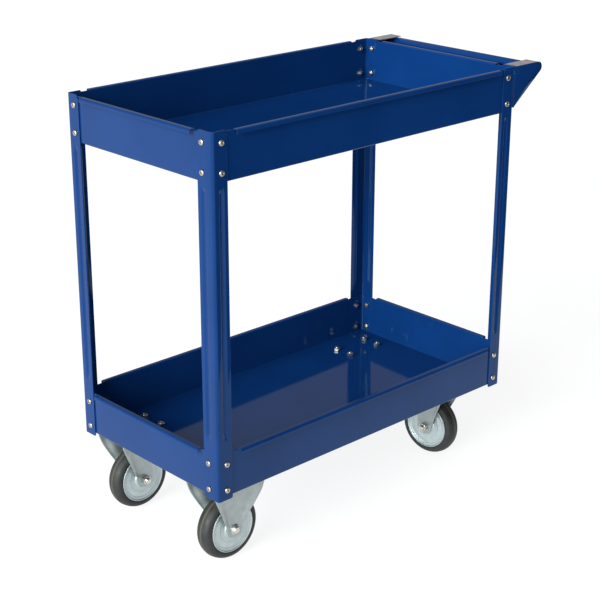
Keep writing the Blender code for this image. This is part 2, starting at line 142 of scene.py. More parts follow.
# castors
TYRE_BORE = 0.0475
RIM_R = 0.0472
BUSH_R = 0.0080
AXLE_R = 0.0050
LEG_IN = 0.0200
TRAIL = 0.0265
PLATE_X = 0.059
PLATE_Y = 0.0365
PLATE_T = 0.003
BOLT_R = 0.0040

# tray bolts: distance from the outer corner, and heights below a post's top or above its foot
WIDE_BOLT_IN = 0.0250
NARROW_BOLT_IN = 0.0195
UPPER_BOLTS = (0.0195, 0.0695)
LOWER_BOLTS = (0.0683, 0.0188)

# flange widths of each post: on the end face, then on the side face
FLANGES = {
    "front_left": (WIDE, NARROW),
    "front_right": (NARROW, NARROW),
    "rear_left": (NARROW, NARROW),
    "rear_right": (NARROW, WIDE),
}


# ---- places taken from the frame ----------------------------------------------------------------
def place_of(joint):
    return Vector(next(j["pos_m"] for j in frame["joints"] if j["name"] == joint))


POST_LOW, POST_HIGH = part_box("post_front_left")
FRONT_X = POST_LOW.x
LEFT_Y = POST_LOW.y
REAR_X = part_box("post_rear_left")[1].x
MIDDLE_X = 0.5 * (FRONT_X + REAR_X)
HALF_X = 0.5 * (REAR_X - FRONT_X)
HALF_Y = -LEFT_Y
POST_FOOT = POST_LOW.z
POST_TOP = POST_HIGH.z


# ---- node helpers -------------------------------------------------------------------------------
def new_material(name, colour, metallic, rough):
    mat = bpy.data.materials.new(name)
    mat.use_nodes = True
    shader = mat.node_tree.nodes["Principled BSDF"]
    shader.inputs["Base Color"].default_value = (*colour, 1.0)
    shader.inputs["Metallic"].default_value = metallic
    shader.inputs["Roughness"].default_value = rough
    return mat, mat.node_tree, shader


def object_coords(tree, stretch=(1.0, 1.0, 1.0)):
    coords = tree.nodes.new("ShaderNodeTexCoord")
    mapping = tree.nodes.new("ShaderNodeMapping")
    mapping.inputs["Scale"].default_value = stretch
    tree.links.new(coords.outputs["Object"], mapping.inputs["Vector"])
    return mapping.outputs["Vector"]


def noise(tree, coords, scale, detail=3.0, rough=0.5):
    node = tree.nodes.new("ShaderNodeTexNoise")
    node.inputs["Scale"].default_value = scale
    node.inputs["Detail"].default_value = detail
    node.inputs["Roughness"].default_value = rough
    tree.links.new(coords, node.inputs["Vector"])
    return node.outputs["Fac"]


def ramp(tree, value, low, high, at=(0.35, 0.65)):
    node = tree.nodes.new("ShaderNodeValToRGB")
    for element, where, shade in zip(node.color_ramp.elements, at, (low, high)):
        element.position = where
        element.color = (*shade, 1.0) if len(shade) == 3 else shade
    tree.links.new(value, node.inputs["Fac"])
    return node.outputs["Color"]


def spread(tree, value, low, high):
    node = tree.nodes.new("ShaderNodeMapRange")
    node.inputs["From Min"].default_value = 0.3
    node.inputs["From Max"].default_value = 0.7
    node.inputs["To Min"].default_value = low
    node.inputs["To Max"].default_value = high
    tree.links.new(value, node.inputs["Value"])
    return node.outputs["Result"]


def bump(tree, height, strength, distance, under=None):
    node = tree.nodes.new("ShaderNodeBump")
    node.inputs["Strength"].default_value = strength
    node.inputs["Distance"].default_value = distance
    tree.links.new(height, node.inputs["Height"])
    if under is not None:
        tree.links.new(under, node.inputs["Normal"])
    return node.outputs["Normal"]


def math_node(tree, kind, a, b=None):
    node = tree.nodes.new("ShaderNodeMath")
    node.operation = kind
    for socket, value in zip(node.inputs, (a, b)):
        if value is None:
            continue
        if isinstance(value, float):
            socket.default_value = value
        else:
            tree.links.new(value, socket)
    return node.outputs["Value"]


# ---- materials ----------------------------------------------------------------------------------
def enamel_material(name, dark, light):
    # stoved gloss enamel: orange peel, faint waviness of the sheet, slight scuffing of the gloss
    mat, tree, shader = new_material(name, light, 0.0, 0.14)
    coords = object_coords(tree)
    tree.links.new(ramp(tree, noise(tree, coords, 9.0), dark, light), shader.inputs["Base Color"])
    scuff = noise(tree, coords, 45.0, 5.0, 0.65)
    tree.links.new(spread(tree, scuff, 0.045, 0.095), shader.inputs["Roughness"])
    wavy = bump(tree, noise(tree, coords, 7.0, 1.0), 0.20, 0.0007)
    peel = bump(tree, noise(tree, coords, 620.0, 1.5), 0.12, 0.00006, wavy)
    tree.links.new(peel, shader.inputs["Normal"])
    shader.inputs["Specular IOR Level"].default_value = 0.22
    shader.inputs["Specular Tint"].default_value = (0.70, 1.0, 0.93, 1.0)
    return mat


def zinc_material(name, dark, light, rough, turned=False, metallic=1.0):
    # zinc plate: cloudy tone, and for turned or spun pieces fine rings round the local Z axis
    mat, tree, shader = new_material(name, light, metallic, rough)
    coords = object_coords(tree)
    cloud = noise(tree, coords, 60.0, 5.0, 0.6)
    tree.links.new(ramp(tree, cloud, dark, light), shader.inputs["Base Color"])
    grain = noise(tree, coords, 380.0, 4.0, 0.6)
    tree.links.new(spread(tree, grain, rough - 0.06, rough + 0.10), shader.inputs["Roughness"])
    soft = bump(tree, noise(tree, coords, 240.0, 3.0), 0.20, 0.00010)
    if turned:
        rings = tree.nodes.new("ShaderNodeTexWave")
        rings.wave_type = "RINGS"
        rings.rings_direction = "Z"
        rings.inputs["Scale"].default_value = 190.0
        rings.inputs["Distortion"].default_value = 1.2
        rings.inputs["Detail"].default_value = 2.0
        tree.links.new(coords, rings.inputs["Vector"])
        soft = bump(tree, rings.outputs["Fac"], 0.12, 0.00010, soft)
    tree.links.new(soft, shader.inputs["Normal"])
    return mat


def rubber_material():
    # dull grey rubber, dusty along the middle of the tread where it rolls
    mat, tree, shader = new_material("tyre_rubber", (0.06, 0.058, 0.06), 0.0, 0.62)
    coords = object_coords(tree)
    split = tree.nodes.new("ShaderNodeSeparateXYZ")
    tree.links.new(coords, split.inputs["Vector"])
    wander = math_node(tree, "MULTIPLY", noise(tree, coords, 90.0, 4.0), 0.0016)
    off = math_node(tree, "ADD", math_node(tree, "ABSOLUTE", split.outputs["Z"]), wander)
    band = tree.nodes.new("ShaderNodeMapRange")
    band.inputs["From Min"].default_value = 0.0042
    band.inputs["From Max"].default_value = 0.0018
    tree.links.new(off, band.inputs["Value"])
    cloud = noise(tree, coords, 55.0, 5.0, 0.6)
    tone = ramp(tree, cloud, (0.012, 0.0122, 0.0135), (0.022, 0.022, 0.0235))
    mix = tree.nodes.new("ShaderNodeMix")
    mix.data_type = "RGBA"
    tree.links.new(math_node(tree, "MULTIPLY", band.outputs["Result"], 0.75), mix.inputs["Factor"])
    tree.links.new(tone, mix.inputs[6])
    mix.inputs[7].default_value = (0.066, 0.058, 0.040, 1.0)
    tree.links.new(mix.outputs[2], shader.inputs["Base Color"])
    grain = noise(tree, coords, 900.0, 3.0)
    tree.links.new(spread(tree, noise(tree, coords, 120.0, 4.0), 0.50, 0.66), shader.inputs["Roughness"])
    shader.inputs["Specular IOR Level"].default_value = 0.36
    tree.links.new(bump(tree, grain, 0.25, 0.00012), shader.inputs["Normal"])
    return mat


def floor_material():
    # pale backdrop that glows faintly like a light table, so that shadows stay thin
    mat, tree, shader = new_material("pale_floor", (0.16, 0.16, 0.16), 0.0, 0.85)
    coords = object_coords(tree)
    tree.links.new(ramp(tree, noise(tree, coords, 0.8), (0.155, 0.155, 0.16), (0.165, 0.165, 0.165)),
                   shader.inputs["Base Color"])
    shader.inputs["Specular IOR Level"].default_value = 0.0
    shader.inputs["Emission Color"].default_value = (1.0, 1.0, 1.0, 1.0)
    shader.inputs["Emission Strength"].default_value = FLOOR_GLOW
    return mat


ENAMEL = enamel_material("blue_enamel_gloss", (0.0024, 0.0235, 0.112), (0.0029, 0.0272, 0.125))
# painted reflection: the pale colour on the wings' top strip stands for the white sky mirrored in the
# glossy blue enamel there, given a zinc finish
PAINTED_SKY_REFLECTION = zinc_material("painted_reflection_strip", (0.60, 0.52, 0.52), (0.78, 0.70, 0.70), 0.38)
ZINC = zinc_material("zinc_pressing", (0.30, 0.34, 0.345), (0.36, 0.40, 0.405), 0.34, False, 0.65)
SPUN = zinc_material("zinc_spun", (0.42, 0.485, 0.50), (0.48, 0.545, 0.56), 0.42, True, 0.7)
SCREW = zinc_material("dull_screw", (0.42, 0.38, 0.34), (0.54, 0.50, 0.45), 0.36, True)
BRIGHT = zinc_material("bright_fastener", (0.52, 0.50, 0.46), (0.66, 0.64, 0.59), 0.30, True)
RUBBER = rubber_material()


# ---- mesh helpers -------------------------------------------------------------------------------
def tidy_normals(mesh):
    work = bmesh.new()
    work.from_mesh(mesh)
    bmesh.ops.recalc_face_normals(work, faces=work.faces[:])
    work.to_mesh(mesh)
    work.free()


def finish_piece(obj, body, cad=(), angle=32.0):
    # modifiers are applied, edges sharper than the angle stay crisp, and the piece joins its body
    if obj.modifiers:
        graph = bpy.context.evaluated_depsgraph_get()
        mesh = bpy.data.meshes.new_from_object(obj.evaluated_get(graph))
        obj.modifiers.clear()
        obj.data = mesh
    obj.data.shade_smooth()
    obj.data.set_sharp_from_angle(angle=math.radians(angle))
    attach(obj, body)
    if cad:
        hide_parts(*cad)
    return obj


def solid(name, verts, faces, mats, place=None):
    mesh = bpy.data.meshes.new(name)
    mesh.from_pydata([tuple(v) for v in verts], [], faces)
    tidy_normals(mesh)
    for mat in mats:
        mesh.materials.append(mat)
    obj = bpy.data.objects.new(name, mesh)
    bpy.context.scene.collection.objects.link(obj)
    if place is not None:
        obj.matrix_world = place
    return obj


def soften(obj, width, segments=2, angle=50.0):
    mod = obj.modifiers.new("soft_edges", "BEVEL")
    mod.width = width
    mod.segments = segments
    mod.limit_method = "ANGLE"
    mod.angle_limit = math.radians(angle)
    return obj


def thicken(obj, thick, grow, edge=0.0003):
    # the metal grows from the skin toward the side that face 0 is told to face
    work = bmesh.new()
    work.from_mesh(obj.data)
    work.faces.ensure_lookup_table()
    if work.faces[0].normal.dot(Vector(grow)) < 0.0:
        bmesh.ops.reverse_faces(work, faces=work.faces[:])
    work.to_mesh(obj.data)
    work.free()
    mod = obj.modifiers.new("sheet", "SOLIDIFY")
    mod.thickness = thick
    mod.offset = 1.0
    mod.use_even_offset = True
    return soften(obj, edge)


def ring_faces(rings, n, loop):
    faces = []
    for i in range(rings if loop else rings - 1):
        a = i * n
        b = ((i + 1) % rings) * n
        for j in range(n):
            k = (j + 1) % n
            faces.append((a + j, a + k, b + k, b + j))
    if not loop:
        faces.append(tuple(range(n))[::-1])
        faces.append(tuple(range((rings - 1) * n, rings * n)))
    return faces


def turned(profile, segs, loop=True, hexed=()):
    # (radius, height) points turned round Z; indices in hexed take a hexagonal outline
    verts = []
    for i, (radius, height) in enumerate(profile):
        for k in range(segs):
            a = 2.0 * math.pi * k / segs
            r = radius
            if i in hexed:
                r = radius / math.cos((a + math.pi / 6.0) % (math.pi / 3.0) - math.pi / 6.0)
            verts.append(Vector((r * math.cos(a), r * math.sin(a), height)))
    return verts, ring_faces(len(profile), segs, loop)


def arc(cx, cz, radius, start, end, steps):
    # points from the start to the end angle in degrees, both ends included
    out = []
    for k in range(steps + 1):
        a = math.radians(start + (end - start) * k / steps)
        out.append((cx + radius * math.cos(a), cz + radius * math.sin(a)))
    return out


def flowing(rows, steps):
    # Catmull-Rom points through rows of numbers
    out = []
    for i in range(len(rows) - 1):
        p0, p1, p2, p3 = rows[max(i - 1, 0)], rows[i], rows[i + 1], rows[min(i + 2, len(rows) - 1)]
        for k in range(steps):
            t = k / steps
            point = []
            for a, b, c, d in zip(p0, p1, p2, p3):
                bend = (2 * b) + (c - a) * t + (2 * a - 5 * b + 4 * c - d) * t * t
                bend += (3 * b - a - 3 * c + d) * t ** 3
                point.append(0.5 * bend)
            out.append(tuple(point))
    out.append(tuple(rows[-1]))
    return out


# ---- trays --------------------------------------------------------------------------------------
def tray_outline(hx, hy, radius, z):
    cut_x = HALF_X - HEM_END_X
    cut_y = HALF_Y - HEM_END_Y
    ring = []
    for sx, sy, start in ((1, 1, 0.0), (-1, 1, 90.0), (-1, -1, 180.0), (1, -1, 270.0)):
        x_cut = Vector((MIDDLE_X + sx * cut_x, sy * hy, z))
        y_cut = Vector((MIDDLE_X + sx * hx, sy * cut_y, z))
        corner = arc(MIDDLE_X + sx * (hx - radius), sy * (hy - radius), radius, start, start + 90.0, 8)
        ring.append(y_cut if sx * sy > 0 else x_cut)
        ring += [Vector((x, y, z)) for x, y in corner]
        ring.append(x_cut if sx * sy > 0 else y_cut)
    return ring


def tray(node):
    low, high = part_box(node)
    hx = HALF_X - POST_SHEET - GAP
    hy = HALF_Y - POST_SHEET - GAP
    rings = []
    for out, up in arc(0.0, FLOOR_FOLD, FLOOR_FOLD, -90.0, 0.0, 6):
        inset = FLOOR_FOLD - out
        rings.append(tray_outline(hx - inset, hy - inset, TRAY_CORNER - inset, low.z + up))
    rings.append(tray_outline(hx, hy, TRAY_CORNER, high.z - NOTCH_DROP))
    n = len(rings[0])
    verts = [p for ring in rings for p in ring]
    faces = [tuple(range(n))]
    for i in range(len(rings) - 1):
        for j in range(n):
            k = (j + 1) % n
            faces.append((i * n + k, i * n + j, (i + 1) * n + j, (i + 1) * n + k))
    # between the hems each corner stands up a little higher than the hems' cut ends
    per = n // 4
    top = (len(rings) - 1) * n
    for corner in range(4):
        base = [top + corner * per + k for k in range(per)]
        raised = [Vector(verts[i]) for i in base]
        raised[0] += (raised[1] - raised[0]).normalized() * NOTCH_RUN
        raised[-1] += (raised[-2] - raised[-1]).normalized() * NOTCH_RUN
        start = len(verts)
        for v in raised:
            v.z = high.z - CORNER_DROP
            verts.append(v)
        for k in range(per - 1):
            faces.append((base[k + 1], base[k], start + k, start + k + 1))
    # each wall's hem folds outward and down between its two cut ends
    rim = high.z - SHEET
    reach = HEM_OUT - SHEET
    steps = arc(RIM_IN_FOLD, rim - RIM_IN_FOLD, RIM_IN_FOLD, 180.0, 90.0, 5)
    steps += arc(reach - RIM_OUT_FOLD, rim - RIM_OUT_FOLD, RIM_OUT_FOLD, 90.0, 0.0, 6)
    steps.append((reach, high.z - HEM_DOWN))
    for side, (ox, oy) in enumerate(((0, 1), (-1, 0), (0, -1), (1, 0))):
        ends = (top + side * per + per - 1, top + ((side + 1) * per) % n)
        row = ends
        for out, z in steps:
            new = []
            for index in ends:
                v = verts[index]
                new.append(len(verts))
                verts.append(Vector((v.x + ox * out, v.y + oy * out, z)))
            faces.append((row[1], row[0], new[0], new[1]))
            row = tuple(new)
    obj = thicken(solid(node + "_sheet", verts, faces, [ENAMEL]), SHEET, (0, 0, 1))
    return finish_piece(obj, ROOT, (node,), 20.0)


# ---- corner posts -------------------------------------------------------------------------------
def flange_line(width, cut, amount):
    # one flange from its free edge toward the corner, as (distance from the corner, depth)
    ribs = 14
    centre = width - RIB_FROM_EDGE
    line = [(width - cut, 0.0)]
    for k in range(ribs + 1):
        c = 1.0 - 2.0 * k / ribs
        line.append((centre + RIB_HALF * c, amount * RIB_DEPTH * 0.5 * (1.0 + math.cos(math.pi * c))))
    return line


def post(node, sx, sy, end_flange, side_flange):
    # stations: height, cut off the free edges, depth of the rib from 0 to 1
    stations = [(POST_FOOT, FOOT_CHAMFER, 0.0), (POST_FOOT + FOOT_CHAMFER, 0.0, 0.0)]
    run = 8
    for k in range(run + 1):
        t = k / run
        stations.append((RIB_LOW - RIB_RUN * (1.0 - t), 0.0, t * t * (3.0 - 2.0 * t)))
    for k in range(run + 1):
        t = k / run
        stations.append((RIB_HIGH + RIB_RUN * t, 0.0, 1.0 - t * t * (3.0 - 2.0 * t)))
    stations += [(POST_TOP - HEAD_CUT, 0.0, 0.0), (POST_TOP, HEAD_CHAMFER, 0.0)]
    fold = arc(POST_FOLD, POST_FOLD, POST_FOLD, 270.0, 180.0, 8)
    fold_in = arc(POST_FOLD, POST_FOLD, POST_FOLD - POST_SHEET, 270.0, 180.0, 8)
    verts = []
    for z, cut, amount in stations:
        side = flange_line(side_flange, cut, amount)
        end = flange_line(end_flange, cut, amount)
        outer = side + fold + [(d, u) for u, d in reversed(end)]
        inner = [(u, d + POST_SHEET) for u, d in side] + fold_in
        inner += [(d + POST_SHEET, u) for u, d in reversed(end)]
        for u, v in outer + inner[::-1]:
            verts.append(Vector((MIDDLE_X + sx * (HALF_X - u), sy * (HALF_Y - v), z)))
    n = len(verts) // len(stations)
    obj = solid(node + "_angle", verts, ring_faces(len(stations), n, False), [ENAMEL])
    return finish_piece(soften(obj, 0.00035), ROOT, (node,), 20.0)


# ---- push handle --------------------------------------------------------------------------------
WING_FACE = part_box("handle_wing_left")[0].x
WING_Y = -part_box("handle_wing_left")[0].y
TIP = arc(WING_TIP_X - WING_TIP_R, -WING_DROP - WING_TIP_R, WING_TIP_R, 90.0, 90.0 - WING_TIP_TURN, 12)
SLOPE_TOP = TIP[-1]
SLOPE_LOW = (SLOPE_FOOT, -WING_LOW)
SLOPE = math.atan2(SLOPE_TOP[1] - SLOPE_LOW[1], SLOPE_TOP[0] - SLOPE_LOW[0])


def wing(node, side):
    # one sheet: side plate, top strip coloured with a painted pale reflection of the sky, mounting
    # flange on the post and a narrow sloping return
    def at(point, y):
        return (WING_FACE + point[0], side * y, POST_TOP + point[1])

    work = bmesh.new()
    outline = [(0.0, -WING_LOW), (0.0, -MOUNT_DROP), (0.0, -WING_DROP), (STRIP_START, -WING_DROP)]
    outline += TIP + [SLOPE_LOW]
    plate = [work.verts.new(at(p, WING_Y)) for p in outline]
    work.faces.new(plate)
    last = len(outline) - 1
    folds = []
    # the strip's first stretch is blue like the rest; behind it the strip carries a painted pale
    # reflection of the sky
    flaps = (((2, 3, 4), STRIP_W, (0, 1)), ((0, 1), MOUNT_W, (0,)), ((last - 1, last), RETURN_W, (0,)))
    for run, width, paints in flaps:
        far = [work.verts.new(at(outline[i], WING_Y - width)) for i in run]
        for k, paint in enumerate(paints):
            a, b = plate[run[k]], plate[run[k + 1]]
            work.faces.new((a, b, far[k + 1], far[k])).material_index = paint
            folds.append(work.edges.get((a, b)))
    bmesh.ops.recalc_face_normals(work, faces=work.faces[:])
    bmesh.ops.bevel(work, geom=folds, offset=WING_FOLD, segments=5, profile=0.5,
                    affect="EDGES", material=0)
    mesh = bpy.data.meshes.new(node + "_sheet")
    work.to_mesh(mesh)
    work.free()
    mesh.materials.append(ENAMEL)
    mesh.materials.append(PAINTED_SKY_REFLECTION)
    obj = bpy.data.objects.new(node + "_sheet", mesh)
    bpy.context.scene.collection.objects.link(obj)
    thicken(obj, SHEET, (0, -side, 0))
    return finish_piece(obj, ROOT, (node,), 24.0)


def rail(node):
    # the grip: a sloping strip on the wings' returns, its upper edge rolled over toward the trays
    reach = (SLOPE_LOW[0] - ROLL_X) * math.sin(SLOPE) - (SLOPE_LOW[1] + ROLL_Z) * math.cos(SLOPE)
    roll = reach - SHEET - GAP
    start = math.degrees(SLOPE) - 90.0
    path = arc(ROLL_X, -ROLL_Z, roll, start, start + ROLL_TURN, 30)
    foot = (path[0][0] - RAIL_RUN * math.cos(SLOPE), path[0][1] - RAIL_RUN * math.sin(SLOPE))
    path.insert(0, foot)
    half = WING_Y - SHEET - GAP
    verts = []
    for x, z in path:
        verts.append(Vector((WING_FACE + x, -half, POST_TOP + z)))
        verts.append(Vector((WING_FACE + x, half, POST_TOP + z)))
    faces = [(2 * i, 2 * i + 2, 2 * i + 3, 2 * i + 1) for i in range(len(path) - 1)]
    obj = thicken(solid(node + "_sheet", verts, faces, [ENAMEL]), SHEET, (-1, 0, 1))
    return finish_piece(obj, ROOT, (node,), 24.0)


# ---- castors ------------------------------------------------------------------------------------
FIXED_LEG = (
    # height over the axle, half width, outer face from the wheel's middle, flare of the edges
    (0.0060, 0.0175, 0.0225, 0.0000),
    (0.0200, 0.0250, 0.0229, 0.0030),
    (0.0340, 0.0325, 0.0250, 0.0060),
    (0.0500, 0.0414, 0.0285, 0.0065),
    (0.0700, 0.0515, 0.0335, 0.0055),
    (0.0890, 0.0588, 0.0378, 0.0015),
)
SWIVEL_LEG = (
    # height over the axle, leading reach, trailing reach, outer face from the middle, flare
    (0.0060, 0.0175, 0.0165, 0.0225, 0.0000),
    (0.0270, 0.0258, 0.0162, 0.0228, 0.0018),
    (0.0450, 0.0345, 0.0145, 0.0245, 0.0038),
    (0.0640, 0.0430, 0.0090, 0.0275, 0.0036),
    (0.0770, 0.0490, 0.0040, 0.0300, 0.0012),
)
# top bends: distance of the outer face from the middle, and radius
FIXED_SHOULDER = (0.0400, 0.0065)
SWIVEL_SHOULDER = (0.0325, 0.0080)
LEG_TIP = 0.0168
LEG_OUT = LEG_IN + LEG_SHEET


def leg_tip(across):
    # rounded lower end of a leg, round the axle
    rows = []
    for k in range(8):
        h = -LEG_TIP + 0.0002 + (LEG_TIP + 0.0010) * k / 8.0
        half = math.sqrt(LEG_TIP * LEG_TIP - h * h)
        rows.append((half, h, across))
    return rows


def yoke(name, rows, place, body, cad):
    # rows run up one leg, over the crown and down the other: (near, far, across, height, flare)
    columns = 24
    verts = []
    for near, far, across, z, flare in rows:
        sign = 1.0 if across >= 0.0 else -1.0
        for j in range(columns + 1):
            c = -1.0 + 2.0 * j / columns
            t = min(1.0, max(0.0, (abs(c) - 0.58) / 0.38))
            lift = t * t * (3.0 - 2.0 * t)
            x = 0.5 * (near + far) + 0.5 * (far - near) * c
            verts.append(Vector((x, across + sign * flare * lift, z)))
    n = columns + 1
    faces = []
    for i in range(len(rows) - 1):
        for j in range(columns):
            a = i * n + j
            faces.append((a, a + 1, a + n + 1, a + n))
    obj = thicken(solid(name, verts, faces, [ZINC], place), LEG_SHEET, (0, -1, 0), 0.0004)
    return finish_piece(obj, body, cad, 28.0)


def shoulder(near, far, across, top, radius):
    # quarter bend from a leg into the crown
    rows = []
    for x, z in arc(0.0, 0.0, radius, 0.0, 90.0, 8)[1:]:
        rows.append((near, far, across - radius + x, top - radius + z, 0.0))
    return rows


def mirrored(rows, middle):
    back = [(near, far, -across, z, flare) for near, far, across, z, flare in reversed(rows)]
    return rows + middle + back


def fixed_bracket(label):
    hub = place_of("front_%s_spin" % label)
    node = "fixed_bracket_" + label
    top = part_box(node)[1].z
    rows = [(-half, half, across, hub.z + h, 0.0) for half, h, across in leg_tip(LEG_OUT)]
    for h, half, across, flare in flowing(FIXED_LEG, 5):
        rows.append((-half, half, across, hub.z + h, flare))
    rows += shoulder(-PLATE_X, PLATE_X, FIXED_SHOULDER[0], top, FIXED_SHOULDER[1])
    rows = mirrored(rows, [(-PLATE_X, PLATE_X, 0.0, top, 0.0)])
    yoke(node + "_pressing", rows, Matrix.Translation((hub.x, hub.y, 0.0)), ROOT, (node,))


def swivel_frame(label):
    # the castor's own axes: X from the swivel axis to the wheel, Y along the axle
    pivot = place_of("rear_%s_swivel" % label)
    hub = place_of("rear_%s_spin" % label)
    heading = math.atan2(hub.y - pivot.y, hub.x - pivot.x)
    return Matrix.Translation((pivot.x, pivot.y, 0.0)) @ Matrix.Rotation(heading, 4, "Z"), hub.z


def swivel_fork(label):
    node = "swivel_fork_" + label
    place, axle_z = swivel_frame(label)
    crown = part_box(node)[1].z
    rows = []
    for half, h, across in leg_tip(LEG_OUT):
        rows.append((TRAIL - half, TRAIL + half, across, axle_z + h, 0.0))
    for h, lead, trail, across, flare in flowing(SWIVEL_LEG, 5):
        rows.append((TRAIL - lead, TRAIL + trail, across, axle_z + h, flare))
    rows += shoulder(-0.0260, 0.0320, SWIVEL_SHOULDER[0], crown, SWIVEL_SHOULDER[1])
    rows.append((-0.0325, 0.0340, 0.0130, crown, 0.0))
    rows = mirrored(rows, [(-0.0335, 0.0345, 0.0, crown, 0.0)])
    yoke(node + "_pressing", rows, place, "rear_%s_castor" % label, (node,))


def swivel_top(label):
    # mounting plate, ball race and kingpin
    pivot = place_of("rear_%s_swivel" % label)
    node = "swivel_plate_" + label
    low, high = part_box(node)
    ring = []
    for sx, sy, start in ((1, 1, 0.0), (-1, 1, 90.0), (-1, -1, 180.0), (1, -1, 270.0)):
        ring += arc(sx * (PLATE_X - 0.008), sy * (PLATE_Y - 0.008), 0.008, start, start + 90.0, 8)
    verts = [Vector((x, y, z)) for z in (low.z, high.z) for x, y in ring]
    plate = solid(node + "_blank", verts, ring_faces(2, len(ring), False), [ZINC],
                  Matrix.Translation((pivot.x, pivot.y, 0.0)))
    finish_piece(soften(plate, 0.0007, 3), ROOT, (node,))
    node = "swivel_race_" + label
    low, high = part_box(node)
    half = 0.5 * (low.z + high.z)
    profile = [(0.0120, low.z), (0.0268, low.z)]
    profile += arc(0.0272, low.z + 0.0016, 0.0016, -80.0, 80.0, 8)
    profile += [(0.0262, half - 0.0004), (0.0262, half + 0.0004)]
    profile += arc(0.0296, high.z - 0.0022, 0.0021, -90.0, 80.0, 8)
    profile += [(0.0290, high.z), (0.0120, high.z)]
    verts, faces = turned(profile, 72)
    race = solid(node + "_cup", verts, faces, [SPUN], Matrix.Translation((pivot.x, pivot.y, 0.0)))
    finish_piece(race, ROOT, (node,))
    node = "swivel_kingpin_" + label
    low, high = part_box(node)
    seat = low.z + 0.0085 - LEG_SHEET - GAP
    profile = [(0.0008, low.z + 0.0006)] + arc(0.0090, low.z + 0.0020, 0.0020, -90.0, 0.0, 5)
    profile += [(0.0110, seat - 0.0006), (0.0104, seat), (0.0060, seat), (0.0060, high.z)]
    verts, faces = turned(profile, 48, False)
    pin = solid(node + "_rivet", verts, faces, [BRIGHT], Matrix.Translation((pivot.x, pivot.y, 0.0)))
    finish_piece(pin, ROOT, (node,))


def tyre_profile():
    # flank, rounded shoulder and crowned tread, with a fine mould line round the middle
    flank = [(TYRE_BORE, 0.0158), (0.0482, 0.0168), (0.0498, 0.0173), (0.0518, 0.0173), (0.0542, 0.0166),
             (0.0570, 0.0148), (0.0592, 0.0122), (0.0608, 0.0089), (0.0618, 0.0052), (0.0621, 0.0022)]
    half = flowing(flank, 3)
    half += [(0.06212, 0.0012), (0.06245, 0.0006), (0.06250, 0.0003)]
    return half + [(r, -h) for r, h in reversed(half)]


def disc_profile():
    # pressed wheel centre from the hub bore out to the rim, one half
    face = [(0.0112, 0.0162), (0.0114, 0.0176), (0.0122, 0.0184), (0.0150, 0.0185), (0.0165, 0.0181),
            (0.0176, 0.0168), (0.0186, 0.0155), (0.0200, 0.0149), (0.0230, 0.0147), (0.0262, 0.0146),
            (0.0275, 0.0148), (0.0290, 0.0151), (0.0320, 0.0150), (0.0360, 0.0147), (0.0378, 0.0144),
            (0.0390, 0.0145), (0.0404, 0.0151), (0.0420, 0.0154), (0.0434, 0.0156), (0.0446, 0.0163),
            (0.0454, 0.0171), (0.0461, 0.0174), (0.0468, 0.0171), (RIM_R, 0.0164)]
    return [(BUSH_R + GAP, 0.00015), (BUSH_R + GAP, 0.0172), (0.0100, 0.0178)] + flowing(face, 2)


def wheel(label, place, body, kind, names):
    verts, faces = turned(tyre_profile(), WHEEL_FACETS)
    tyre = solid("%s_tyre_%s_moulded" % (kind, label), verts, faces, [RUBBER], place)
    finish_piece(tyre, body, ("%s_tyre_%s" % (kind, label),), 40.0)
    for name, side in zip(names, (-1, 1)):
        front = disc_profile()
        back = [(RIM_R, 0.00015), (0.0456, 0.00015), (0.0450, 0.0142), (0.0380, 0.0125),
                (0.0185, 0.0128), (0.0150, 0.0160), (0.0115, 0.0160), (0.0115, 0.00015)]
        verts, faces = turned([(r, h * side) for r, h in front + back], WHEEL_FACETS)
        node = "%s_%s_%s" % (kind, name, label)
        disc = solid(node + "_pressed", verts, faces, [SPUN], place)
        finish_piece(disc, body, (node,))


def thread(radius, start, end, pitch, depth):
    # ridged outline of a bolt's thread, with a chamfered end
    out = []
    count = int(round((end - start) / pitch))
    for k in range(count):
        z = start + (end - start) * k / count
        out.append((radius, z))
        out.append((radius - depth, z + 0.5 * (end - start) / count))
    out.append((radius, end - 0.0004))
    out.append((radius - 0.0010, end))
    return out


def axle_set(label, place, body, kind):
    # domed flange bolt through the legs, its head on local -Z and its nut on +Z
    face = LEG_IN + LEG_SHEET + GAP
    head = [(0.0006, -face - 0.00645)] + arc(0.0, -face - 0.0014, 0.0076, -80.0, -42.0, 8)
    head = [(r, max(z, -face - 0.0064)) for r, z in head]
    head += [(0.0080, -face - 0.0034), (0.0081, -face - 0.0022), (0.0092, -face - 0.0019)]
    head += [(0.0097, -face - 0.0012), (0.0096, -face - 0.0001), (0.0090, -face), (AXLE_R, -face)]
    shank = [(AXLE_R, face + 0.0005)] + thread(AXLE_R, face + 0.0010, face + 0.0135, 0.0013, 0.0005)
    verts, faces = turned(head + shank, BOLT_FACETS, False)
    node = "%s_axle_%s" % (kind, label)
    bolt = solid(node + "_bolt", verts, faces, [BRIGHT], place)
    finish_piece(bolt, body, (node,), 40.0)
    bore = AXLE_R + GAP
    profile = [(bore, face + 0.0003), (0.0072, face), (0.0079, face + 0.0006), (0.0080, face + 0.0012),
               (0.0080, face + 0.0066), (0.0078, face + 0.0073), (0.0070, face + 0.0079),
               (0.0060, face + 0.0080), (bore, face + 0.0074)]
    verts, faces = turned(profile, BOLT_FACETS, True, (2, 3, 4, 5))
    node = "%s_nut_%s" % (kind, label)
    nut = solid(node + "_hex", verts, faces, [BRIGHT], place)
    finish_piece(nut, body, (node,), 25.0)


def fixed_castor(label):
    hub = place_of("front_%s_spin" % label)
    outward = 1.0 if hub.y > 0.0 else -1.0
    place = Matrix.Translation(hub) @ Matrix.Rotation(math.radians(90.0 * outward), 4, "X")
    fixed_bracket(label)
    axle_set(label, place, ROOT, "fixed")
    wheel(label, place, "front_%s_wheel" % label, "fixed", ("disc_outer", "disc_inner"))


